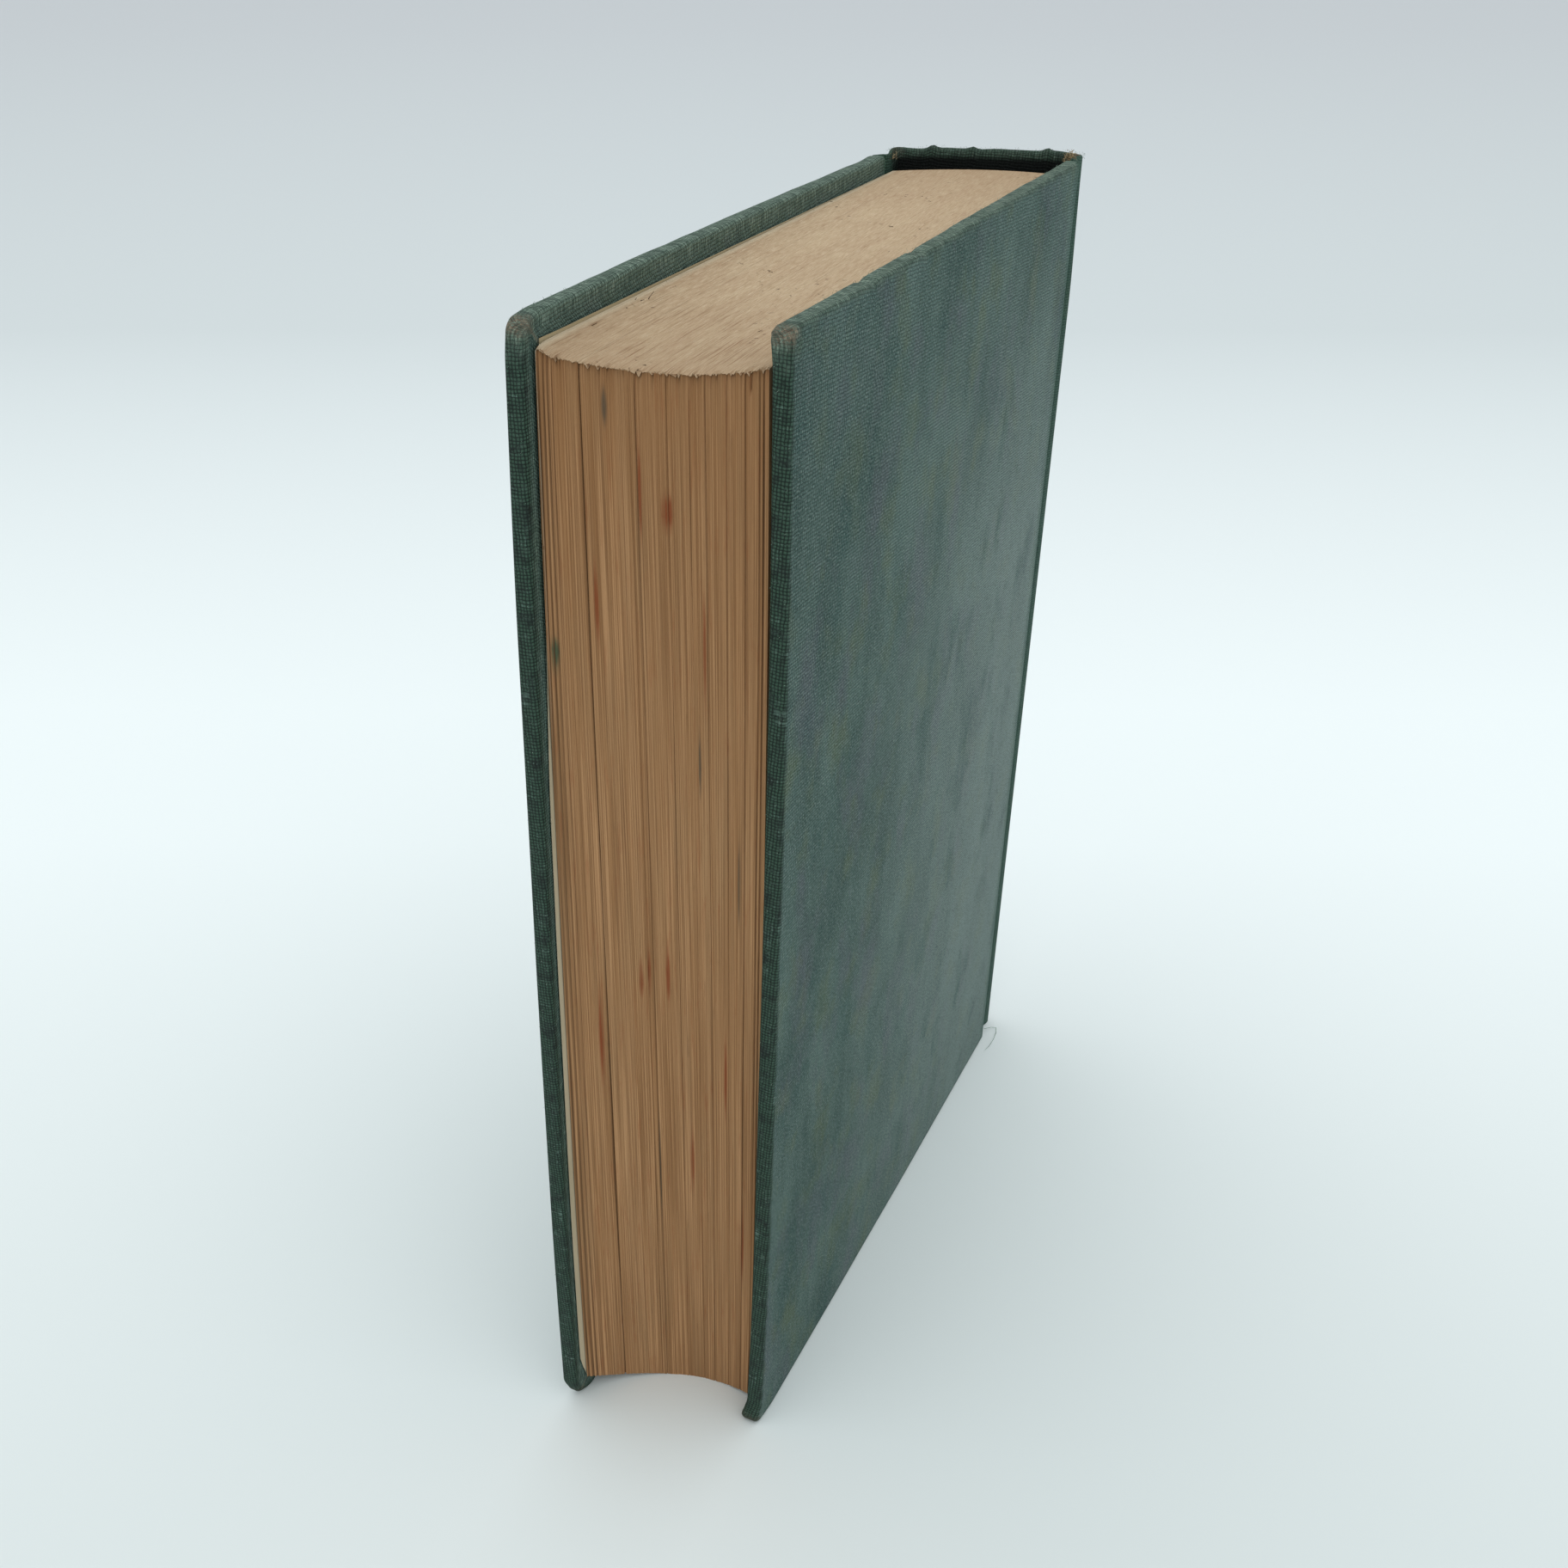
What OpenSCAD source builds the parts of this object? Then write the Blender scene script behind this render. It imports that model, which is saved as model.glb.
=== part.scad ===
// Case-bound hardback book, standing on its tail.
// The book has been read and stored upright for years: the front cover leads the back cover,
// the spine is cocked, and the leaves droop towards the fore-edge.
// X runs from the spine to the fore-edge, Y from the front cover to the back cover, Z upwards.

/* [Covers] */
// Height of a covered board, from tail to head
cover_h = 222; // [180:1:300]
// Width of a covered board, from the joint to the fore-edge
cover_w = 138.8; // [120:0.2:180]
// Thickness of the bare board
board_t = 2.5; // [1.6:0.1:4]
// Thickness of the covering cloth
cloth_t = 0.35; // [0.3:0.05:0.6]
// Width of the cloth turned in over the inside of a board
turn_in = 15; // [8:0.5:25]
// Rounding of the two outer corners of a cover
corner_r = 2.2; // [1.2:0.1:8]
// Rounding of the long edges of a covered board
edge_r = 0.8; // [0.5:0.05:0.9]
// Gap along the mitre where two turn-ins meet in a corner
mitre_gap = 0.2; // [0.1:0.05:0.5]

/* [Text block] */
// Height of a leaf
page_h = 213.5; // [170:0.5:217]
// Width of a leaf, from spine to fore-edge
page_w = 138; // [100:0.5:142]
// Thickness of all the leaves together
block_t = 31.9; // [8:0.1:70]
// Depth of the rounding of the spine and of the hollow of the fore-edge
block_round = 3.8; // [0:0.1:8]
// Distance from the head of the covers down to the leaves, at the spine
head_square = 3.2; // [1:0.1:6]
// Distance from the inside of the spine corner to the first leaf's spine edge
spine_clear = 4.1; // [3.5:0.1:10]

/* [Slant and droop] */
// How far the front cover leads the back cover
cock = 12.4; // [0:0.1:16]
// How far the leaves slant from the back cover to the front cover
block_cock = 11; // [0:0.1:16]
// Drop of the first leaf at the fore-edge
droop_front = 1.9; // [0:0.1:3]
// Drop of the last leaf at the fore-edge
droop_back = 2.7; // [0:0.1:3]
// Further drop of the middle leaf at the fore-edge
droop_middle = 2.3; // [0:0.1:3]
// Drop of the flyleaves at the fore-edge, which the endpaper folds hold up
droop_fly = 0.5; // [0:0.1:3]

/* [Spine and joints] */
// Width of the cloth joint between a board and the spine
joint_w = 7.5; // [5:0.1:12]
// Depth of the joint groove below the face of the cover
groove_depth = 1.8; // [0.5:0.1:2.5]
// How far the spine's shoulders lie inside the faces of the covers
shoulder_in = 0.9; // [0.5:0.1:2]
// How far the spine stands back from the line between its shoulders
spine_bulge = 5; // [3:0.1:9]
// Squareness of the spine's curve, where 2 is an ellipse
spine_power = 3; // [2:0.1:4]
// Thickness of the card strip that stiffens the spine
inlay_t = 0.8; // [0.4:0.1:1.4]
// Distance of the card strip's long edges from the shoulders
inlay_margin = 2; // [1.5:0.1:4]
// Depth of the cloth turned in over the ends of the spine
spine_turn_in = 14; // [6:0.5:25]

/* [Papers and gauze] */
// Thickness of an endpaper
paper_t = 0.2; // [0.15:0.05:0.3]
// Clearance between a closed cover and the flyleaf
cover_gap = 0.25; // [0.2:0.05:0.6]
// Cloth margin left around the pasted-down endpaper, at the fore-edge
pastedown_margin = 5; // [2:0.5:7]
// Thickness of the gauze glued to the backs of the sections
gauze_t = 0.2; // [0.1:0.05:0.3]
// Width of the gauze glued to each board
gauze_flange = 28; // [15:1:45]
// Distance of the gauze from the turn-ins at the head and the tail of a cover
gauze_clear = 9.25; // [2:0.25:20]
// Thickness of the paper lining on the spine of the leaves
lining_t = 0.3; // [0.15:0.05:0.6]

/* [Hidden] */

CLOTH = [0.30, 0.38, 0.36];
BOARD = [0.60, 0.52, 0.40];
PAPER = [0.64, 0.52, 0.39];
ENDPAPER = [0.78, 0.73, 0.62];
GAUZE = [0.85, 0.81, 0.70];
KRAFT = [0.62, 0.47, 0.30];

eps = 0.01;
block_stations = 24;
spine_stations = 36;
joint_stations = 12;
arc_stations = 6;

// Stack of layers from the outside of a cover to the first leaf
cover_t = board_t + 2 * cloth_t;
inner_face = cloth_t + board_t;
stack_t = cover_t + paper_t + cover_gap + paper_t;
book_t = block_t + 2 * stack_t;

// The hinge line lies on the outer spine edge of each board. The joint's cloth starts just
// behind and below it, so that a cover can lie back over the joint.
hinge_gap = 0.15;
hinge_drop = 0.3;
hinge_y = book_t / 2;
shoulder_y = hinge_y - shoulder_in;

// Spine edges of the boards, with the back cover's taken as zero
back_edge = 0;
front_edge = cock;
back_shoulder = [back_edge - joint_w, shoulder_y];
front_shoulder = [front_edge - joint_w, -shoulder_y];

// Outline of the spine in plan, swept from the front shoulder to the back shoulder
spine_chord = back_shoulder - front_shoulder;
spine_out = [-spine_chord.y, spine_chord.x] / norm(spine_chord);
function spine_rise(s) = spine_bulge * pow(1 - pow(abs(2 * s - 1), spine_power), 1 / spine_power);
// Stations crowd towards the shoulders, where the curve is tightest
function spine_share(i) = (1 - cos(180 * i / spine_stations)) / 2;
function spine_point(s) = front_shoulder + s * spine_chord + spine_rise(s) * spine_out;

// Outline of a joint in plan, from the board's edge (0) to the shoulder (1)
groove_at = 0.45;
function ease(a, b, s) = a + (b - a) * (1 - cos(180 * s)) / 2;
function joint_dip(s) = s < groove_at
    ? ease(hinge_drop, groove_depth, s / groove_at)
    : ease(groove_depth, shoulder_in, (s - groove_at) / (1 - groove_at));
function joint_point(edge, side, s) =
    [edge - hinge_gap - s * (joint_w - hinge_gap), side * (hinge_y - joint_dip(s))];

// The cloth's whole outer line, from the front hinge round the spine to the back hinge
cloth_line = concat(
    [for (i = [0 : joint_stations - 1]) joint_point(front_edge, -1, i / joint_stations)],
    [for (i = [0 : spine_stations]) spine_point(spine_share(i))],
    [for (i = [joint_stations - 1 : -1 : 0]) joint_point(back_edge, 1, i / joint_stations)]);
last = len(cloth_line) - 1;
spine_first = joint_stations;
spine_last = joint_stations + spine_stations;

// Unit normal into the book at each point of the cloth's line
function turned(v) = [v.y, -v.x] / norm(v);
function inward(i) = turned(cloth_line[min(last, i + 1)] - cloth_line[max(0, i - 1)]);
function inset_point(i, d) = cloth_line[i] + d * inward(i);

// Strip in plan between two insets of the cloth's line
module cloth_band(outer, inner, first, final) {
    polygon(concat([for (i = [first : final]) inset_point(i, outer)],
                   [for (i = [final : -1 : first]) inset_point(i, inner)]));
}

// Stations of the cloth's line between which the card strip lies
inlay_share = inlay_margin / norm(spine_chord);
inlay_skip = ceil(spine_stations * acos(1 - 2 * inlay_share) / 180);
inlay_first = spine_first + inlay_skip;
inlay_last = spine_last - inlay_skip;
inlay_inner = cloth_t + inlay_t;

// Middle of the whole book, from the rearmost point of the spine to the leading fore-edge
spine_rear = min([for (p = cloth_line) p.x]);
book_mid = (spine_rear + front_edge + cover_w) / 2;

// Leaves: t runs from -1 at the front leaf to 1 at the back leaf
block_half = block_t / 2;
head_z = cover_h - head_square;
tail_z = head_z - page_h;
block_back = (back_edge + front_edge) / 2 - joint_w + spine_clear + inlay_t;
function leaf_back(t) = block_back - t * block_cock / 2 - block_round * (1 - t * t);
function leaf_droop(t) = droop_front * (1 - t) / 2 + droop_back * (1 + t) / 2 + droop_middle * (1 - t * t);

// Corner of a leaf; a drooping leaf also leans, forwards at the head and back at the tail
function leaf_corner(t, droop, fore, head) =
    let (lean = fore * droop / page_w * page_h * (head - 0.5))
    [leaf_back(t) + fore * page_w + lean, t * block_half, tail_z + head * page_h - fore * droop];
function leaf_outline(t, droop) = [leaf_corner(t, droop, 0, 0), leaf_corner(t, droop, 1, 0),
                                   leaf_corner(t, droop, 1, 1), leaf_corner(t, droop, 0, 1)];

module centred() {
    translate([-book_mid, 0, 0]) children();
}

// Sewn sections, trimmed and rounded: a loft through the outlines of the leaves
module text_block() {
    leaves = [for (i = [0 : block_stations])
        let (t = 2 * i / block_stations - 1) leaf_outline(t, leaf_droop(t))];
    corners = [for (leaf = leaves) each leaf];
    sides = [for (i = [0 : block_stations - 1]) for (k = [0 : 3])
        let (a = 4 * i + k, b = 4 * i + (k + 1) % 4)
        each [[a, b, b + 4], [a, b + 4, a + 4]]];
    end = 4 * block_stations;
    color(PAPER) centred()
        polyhedron(corners, concat([[0, 3, 2, 1]], sides, [[end, end + 1, end + 2, end + 3]]));
}

// Free half of an endpaper, beside the first or the last leaf
module flyleaf(side) {
    outline = [for (p = leaf_outline(side, droop_fly)) [p.x, p.z]];
    color(ENDPAPER) centred()
        translate([0, side > 0 ? block_half + paper_t : -block_half, 0])
            rotate([90, 0, 0]) linear_extrude(paper_t) polygon(outline);
}
module front_flyleaf() { flyleaf(-1); }
module back_flyleaf() { flyleaf(1); }

// Strip in plan that follows the rounded backs of the leaves, between two distances behind them
module back_band(near, far) {
    stations = [for (i = [0 : block_stations]) 2 * i / block_stations - 1];
    polygon(concat([for (t = stations) [leaf_back(t) - near, t * block_half]],
                   [for (i = [block_stations : -1 : 0])
                       [leaf_back(stations[i]) - far, stations[i] * block_half]]));
}

// Open-weave gauze glued over the sewn backs; it ends inside the turn-ins of the covers
gauze_h = cover_h - 2 * (turn_in + gauze_clear);
module gauze_run() {
    translate([0, 0, tail_z + (page_h - gauze_h) / 2]) linear_extrude(gauze_h) children();
}
module spine_gauze() { color(GAUZE) centred() gauze_run() back_band(0, gauze_t); }

// Kraft paper over the gauze, which also covers the backs above and below it
module spine_lining() {
    margin = 3;
    color(KRAFT) centred() difference() {
        translate([0, 0, tail_z + margin])
            linear_extrude(page_h - 2 * margin) back_band(0, gauze_t + lining_t);
        gauze_run() back_band(-1, gauze_t);
    }
}

// Card strip that stiffens the spine inside its cloth
module inlay_strip() {
    translate([0, 0, cloth_t]) linear_extrude(cover_h - 2 * cloth_t)
        cloth_band(cloth_t, inlay_inner, inlay_first, inlay_last);
}
module spine_inlay() { color(BOARD) centred() inlay_strip(); }

// Depth to the inside of the turned-in cloth, which steps up over the card strip
function turned_depth(i) = cloth_t + (i < inlay_first || i > inlay_last ? cloth_t : inlay_inner);

// Cloth of the spine and both joints, turned in at the head and the tail over the card strip
module spine_cloth() {
    room = 4;
    color(CLOTH) centred() difference() {
        linear_extrude(cover_h)
            polygon(concat([for (i = [0 : last]) inset_point(i, 0)],
                           [for (i = [last : -1 : 0]) inset_point(i, turned_depth(i))]));
        inlay_strip();
        translate([0, 0, spine_turn_in]) linear_extrude(cover_h - 2 * spine_turn_in)
            inner_room(room);
    }
}

// Everything in plan inside the cloth's inner face, as far as the given depth
module inner_room(depth) {
    ends = [inset_point(last, cloth_t) + [1, 0], inset_point(0, cloth_t) + [1, 0]];
    polygon(concat([for (i = [0 : last]) inset_point(i, cloth_t)],
                   [ends[0], ends[0] - [0, depth], ends[1] + [0, depth], ends[1]]));
}

// A cover is drawn with its outer face at y = 0, its inside towards +Y and its spine edge at x = 0
module as_front() {
    centred() translate([front_edge, -hinge_y, 0]) children();
}
module as_back() {
    centred() translate([back_edge, hinge_y, 0]) mirror([0, 1, 0]) children();
}

// Upright board outline with square spine corners and rounded fore-edge corners
module board_outline(w, h, r) {
    arc = [for (i = [0 : arc_stations]) 90 * i / arc_stations];
    polygon(concat([[0, 0]],
                   [for (a = arc) [w - r + r * sin(a), r - r * cos(a)]],
                   [for (a = arc) [w - r + r * cos(a), h - r + r * sin(a)]],
                   [[0, h]]));
}
module upright(t) {
    translate([0, t, 0]) rotate([90, 0, 0]) linear_extrude(t) children();
}

module board() {
    color(BOARD) translate([0, cloth_t, cloth_t]) upright(board_t)
        board_outline(cover_w - cloth_t, cover_h - 2 * cloth_t, corner_r - cloth_t);
}

// Disc with a rounded rim, which rounds a cover's corners and edges when four are joined
module corner_disc() {
    rotate([-90, 0, 0]) rotate_extrude($fn = 32) {
        square([corner_r - edge_r, cover_t]);
        translate([0, edge_r]) square([corner_r, cover_t - 2 * edge_r]);
        for (y = [edge_r, cover_t - edge_r])
            translate([corner_r - edge_r, y]) circle(edge_r, $fn = 16);
    }
}
module covered_plate() {
    intersection() {
        hull() for (x = [-corner_r, cover_w - corner_r], z = [corner_r, cover_h - corner_r])
            translate([x, 0, z]) intersection() {
                corner_disc();
                translate([-corner_r, 0, -corner_r]) cube([2 * corner_r, cover_t, 2 * corner_r]);
            }
        cube([cover_w, cover_t, cover_h]);
    }
}

// Cloth over the face and round three edges, turned in and mitred at the corners
module cover_cloth() {
    slit = [2 * turn_in, cloth_t + 2 * eps, mitre_gap];
    color(CLOTH) difference() {
        covered_plate();
        translate([-eps, cloth_t, cloth_t]) upright(board_t)
            board_outline(cover_w - cloth_t + eps, cover_h - 2 * cloth_t, corner_r - cloth_t);
        translate([-eps, inner_face - eps, turn_in])
            cube([cover_w - turn_in + eps, cloth_t + 1, cover_h - 2 * turn_in]);
        for (head = [0, 1])
            translate([cover_w - turn_in, inner_face, head ? cover_h - turn_in : turn_in])
                rotate([0, head ? -45 : 45, 0])
                    translate([-mitre_gap, -eps, -mitre_gap / 2])
                        cube([sqrt(2) * (turn_in - corner_r), slit.y, slit.z]);
    }
}

// Gauze glued to the inside of the board, under the endpaper
gauze_tail = (cover_h - gauze_h) / 2;
module gauze_flange() {
    color(GAUZE) translate([0, inner_face, gauze_tail]) cube([gauze_flange, gauze_t, gauze_h]);
}

// Pasted-down endpaper: it laps the turn-ins, dips between them and rises over the gauze
module pastedown() {
    sheet_w = cover_w - pastedown_margin;
    sheet_tail = (cover_h - page_h) / 2;
    window = [cover_w - turn_in, cover_h - 2 * turn_in];
    color(ENDPAPER) difference() {
        union() {
            translate([0, cover_t, sheet_tail]) cube([sheet_w, paper_t, page_h]);
            translate([0, inner_face, turn_in]) cube([window.x, cloth_t + paper_t, window.y]);
        }
        difference() {
            translate([-1, inner_face + paper_t, turn_in + paper_t])
                cube([window.x + 1 - paper_t, cloth_t + 1, window.y - 2 * paper_t]);
            translate([-2, inner_face, gauze_tail - paper_t])
                cube([2 + gauze_flange + paper_t, gauze_t + paper_t, gauze_h + 2 * paper_t]);
        }
        translate([-1, inner_face - 1, gauze_tail]) cube([1 + gauze_flange, 1 + gauze_t, gauze_h]);
    }
}

module front_board() { as_front() board(); }
module back_board() { as_back() board(); }
module front_cover_cloth() { as_front() cover_cloth(); }
module back_cover_cloth() { as_back() cover_cloth(); }
module front_gauze_flange() { as_front() gauze_flange(); }
module back_gauze_flange() { as_back() gauze_flange(); }
module front_pastedown() { as_front() pastedown(); }
module back_pastedown() { as_back() pastedown(); }

text_block();
front_flyleaf();
back_flyleaf();
spine_gauze();
spine_lining();
spine_inlay();
spine_cloth();
front_board();
front_cover_cloth();
front_gauze_flange();
front_pastedown();
back_board();
back_cover_cloth();
back_gauze_flange();
back_pastedown();
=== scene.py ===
import math

import bmesh
import bpy
import numpy as np
from mathutils import Matrix, Vector, noise


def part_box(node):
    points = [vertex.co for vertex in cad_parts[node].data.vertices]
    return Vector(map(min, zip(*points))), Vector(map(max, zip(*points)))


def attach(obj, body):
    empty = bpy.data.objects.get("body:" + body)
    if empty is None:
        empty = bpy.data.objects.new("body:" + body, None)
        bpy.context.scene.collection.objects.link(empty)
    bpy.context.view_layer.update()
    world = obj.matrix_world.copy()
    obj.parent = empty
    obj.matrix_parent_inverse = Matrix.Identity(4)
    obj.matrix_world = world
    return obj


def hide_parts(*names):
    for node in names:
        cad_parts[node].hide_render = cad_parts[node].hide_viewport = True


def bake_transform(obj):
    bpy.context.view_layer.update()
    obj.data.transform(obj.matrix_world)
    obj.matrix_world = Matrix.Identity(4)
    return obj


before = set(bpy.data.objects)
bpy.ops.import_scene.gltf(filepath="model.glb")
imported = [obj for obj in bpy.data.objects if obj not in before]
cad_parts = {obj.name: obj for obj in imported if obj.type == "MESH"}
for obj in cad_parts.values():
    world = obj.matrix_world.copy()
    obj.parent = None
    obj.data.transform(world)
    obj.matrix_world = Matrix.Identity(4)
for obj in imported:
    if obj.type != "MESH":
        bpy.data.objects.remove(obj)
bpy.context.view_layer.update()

# Camera
# It stands in front of the fore-edge and above the head, as the photographer did. The picture
# is cut from a wider one, so the optical axis lies to the left of its middle.
PICTURE_PX = 1824
FOCAL_PX = 1944.9
AXIS_PX = (806.6, 917.3)
SENSOR_MM = 36
MM = 0.001
camera_place = Vector((276.21, 110.32, 283.06)) * MM
camera_azimuth = math.radians(27.005)
camera_drop = math.radians(30.451)
camera_roll = math.radians(0.01)

lens = bpy.data.cameras.new("camera")
lens.sensor_width = SENSOR_MM
lens.lens = FOCAL_PX / PICTURE_PX * SENSOR_MM
lens.shift_x = 0.5 - AXIS_PX[0] / PICTURE_PX
lens.shift_y = AXIS_PX[1] / PICTURE_PX - 0.5
lens.clip_end = 50
camera = bpy.data.objects.new("camera", lens)
bpy.context.scene.collection.objects.link(camera)
backwards = Vector((math.cos(camera_drop) * math.cos(camera_azimuth),
                    math.cos(camera_drop) * math.sin(camera_azimuth), math.sin(camera_drop)))
turn = backwards.to_track_quat("Z", "Y").to_matrix() @ Matrix.Rotation(camera_roll, 3, "Z")
camera.matrix_world = Matrix.Translation(camera_place) @ turn.to_4x4()
bpy.context.scene.camera = camera


# Text block
# The sewn sections of browned, uncoated book paper, trimmed on three sides. Age has cocked it,
# and its leaves droop at the fore-edge, where dust and handling have darkened their edges.
LEAF_COUNT = 300
# Steps of the grid along each side of a leaf, crowded towards the corners
RUNS = {"spine": 16, "tail": 36, "fore": 110, "head": 64}
LEAF_CROWD = 0.85
# How far the edges stand out of the trimmed face, in mm: by leaf, by bundle, by section, in waves
LEAF_PROUD = 0.022
BUNDLE_PROUD = 0.012
SECTION_PROUD = 0.02
WAVE_PROUD = 0.03
CREASE = math.radians(50)
rng = np.random.default_rng(11)


def linear(colour):
    """Linear RGBA of an sRGB hex colour."""
    shares = [int(colour[i:i + 2], 16) / 255 for i in (1, 3, 5)]
    return [s / 12.92 if s < 0.04045 else ((s + 0.055) / 1.055) ** 2.4 for s in shares] + [1]


def add(tree, kind, inputs, **settings):
    """A new shader node with its settings and links; returns its outputs."""
    made = tree.nodes.new("ShaderNode" + kind)
    for name, value in settings.items():
        setattr(made, name, value)
    for key, value in inputs.items():
        if isinstance(value, bpy.types.NodeSocket):
            tree.links.new(value, made.inputs[key])
        else:
            made.inputs[key].default_value = value
    return made.outputs


def new_material(name):
    """A new material and its node tree, which is empty."""
    material = bpy.data.materials.new(name)
    material.use_nodes = True
    material.node_tree.nodes.clear()
    return material, material.node_tree


def surfaced(material, tree, colour, rough, shine=0.5, relief=None):
    """Finishes a material. The relief is a height, a strength and a depth in metres."""
    inputs = {"Base Color": colour, "Roughness": rough, "Specular IOR Level": shine}
    if relief:
        inputs["Normal"] = add(tree, "Bump", dict(zip(("Height", "Strength", "Distance"), relief)))[0]
    add(tree, "OutputMaterial", {0: add(tree, "BsdfPrincipled", inputs)[0]})
    return material


def crowd(share, pull):
    """Moves shares between 0 and 1 towards both ends."""
    return share - pull * np.sin(2 * np.pi * share) / (2 * np.pi)


def smooth(low, high, value):
    """Rises smoothly from 0 at low to 1 at high."""
    share = np.clip((value - low) / (high - low), 0, 1)
    return share * share * (3 - 2 * share)


def finished(name, bm, material, body=None, replaced=()):
    """Makes the mesh an object that rides on its body."""
    mesh = bpy.data.meshes.new(name)
    bm.to_mesh(mesh)
    bm.free()
    mesh.materials.append(material)
    mesh.shade_smooth()
    mesh.set_sharp_from_angle(angle=CREASE)
    piece = bpy.data.objects.new(name, mesh)
    bpy.context.scene.collection.objects.link(piece)
    if replaced:
        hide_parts(*replaced)
    if body:
        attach(piece, body)
    return piece


def leaf_rows(node):
    """Corners of the CAD loft by leaf: spine-tail, fore-tail, fore-head and spine-head, in x and z."""
    points = np.unique(np.round([v.co[:] for v in node.data.vertices], 6), axis=0)
    depths = np.unique(points[:, 1].round(5))
    rows = []
    for depth in depths:
        row = points[np.abs(points[:, 1] - depth) < 1e-5]
        row = row[np.argsort(row[:, 2])]
        tail, head = row[:2], row[2:]
        tail, head = tail[np.argsort(tail[:, 0])], head[np.argsort(head[:, 0])]
        rows.append([tail[0], tail[1], head[1], head[0]])
    return depths, np.array(rows)[:, :, [0, 2]]


depths, rows = leaf_rows(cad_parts["text_block"])
BLOCK_FRONT, BLOCK_BACK = depths[0], depths[-1]
BLOCK_T = BLOCK_BACK - BLOCK_FRONT


def wander(count, reach):
    """A smoothed random walk over the leaves, about -1 to 1."""
    steps = rng.normal(size=count + 6 * reach)
    kernel = np.hanning(2 * reach + 1)
    kernel /= np.sqrt((kernel ** 2).sum())
    return np.convolve(steps, kernel, "same")[3 * reach:3 * reach + count] / 2


# Leaves that have opened a little: share of the block's thickness, depth in mm and the darkness of the
# painted shade in the gap.
# From the depth of a wide gap on, a gap is two leaves wide.
GAPS = ((0.003, 0.4, 0.8), (0.01, 0.2, 0.5), (0.022, 0.35, 0.7), (0.04, 0.3, 0.55), (0.06, 0.2, 0.4),
        (0.165, 1.3, 1.0), (0.25, 0.2, 0.25), (0.37, 0.2, 0.2), (0.395, 0.3, 0.35), (0.53, 0.25, 0.3),
        (0.63, 0.2, 0.25), (0.70, 0.3, 0.35), (0.80, 0.25, 0.3), (0.885, 0.3, 0.4), (0.955, 0.4, 0.6),
        (0.975, 0.4, 0.7))
WIDE_GAP = 0.3
# A slot is torn into the corner between the head and the fore-edge, near the back
SLOT_SHARE = 0.914
SLOT_DEPTH = 0.6
# Bends of the leaves' corners at the fore-edge, in mm forwards and up, for the leaves at the front,
# and the drop of all tail corners and of those at the back
FRONT_TAIL_BEND = (2.0, 2.6)
FRONT_HEAD_BEND = (0.1, 0.9)
TAIL_DROP = 0.85
BACK_DROP = 0.2
FIRST_LEAVES = 1.8
# Bends of a closed cover at the head, at the tail and out at mid-height, in mm, and the share of
# its height that is bent at each end
HEAD_BEND = 0.4
TAIL_BEND = 0.5
MIDDLE_BOW = 0.4
BENT_SHARE = 0.25
# Stains on the fore-edge: place across the book and height, half width and half length, all in
# mm, and the kind: rusty, grey or green
STAINS = ((-1.0, 106, 0.3, 5, 0), (-4.0, 107, 0.25, 4, 0), (-5.3, 105, 0.3, 3, 0), (0.8, 193, 0.8, 2.5, 0),
          (2.5, 62, 0.3, 7, 0), (-9.5, 178, 0.3, 6, 0), (9.0, 84, 0.25, 8, 0), (-7.4, 209, 0.35, 2.5, 1),
          (-11.5, 92, 0.3, 9, 0), (6.0, 170, 0.2, 8, 0), (-3.0, 196, 0.25, 6, 0), (12.5, 44, 0.25, 9, 0),
          (5.0, 150, 0.2, 5, 1), (11.5, 128, 0.25, 7, 1), (-3.3, 60, 0.15, 12, 1),
          (-15.0, 169.5, 0.5, 2.2, 2))


def settled(corners, depth):
    """Leaf corners after the bends that keep the outermost leaves to the endpapers."""
    near = np.exp(-depth / 4)
    outermost = 1 - smooth(0, FIRST_LEAVES, depth)
    far = np.exp((depth - BLOCK_T / MM) / 5)
    drop = FRONT_TAIL_BEND[1] * near - TAIL_DROP - BACK_DROP * far
    corners[1] += np.stack([FRONT_TAIL_BEND[0] * near, drop]) * MM
    corners[2] += np.stack([FRONT_HEAD_BEND[0] * near, FRONT_HEAD_BEND[1] * outermost]) * MM
    return corners


def closed_bend(reach, up):
    """How far a closed cover is bent towards the leaves, in mm, by shares of its width and height."""
    head = np.clip((up - (1 - BENT_SHARE)) / BENT_SHARE, 0, 1)
    tail = np.clip((BENT_SHARE - up) / BENT_SHARE, 0, 1)
    ends = (HEAD_BEND * head ** 2 + TAIL_BEND * tail ** 2) * reach ** 3
    return ends - MIDDLE_BOW * np.sin(np.pi * np.clip(up, 0, 1)) * reach ** 2


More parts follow.
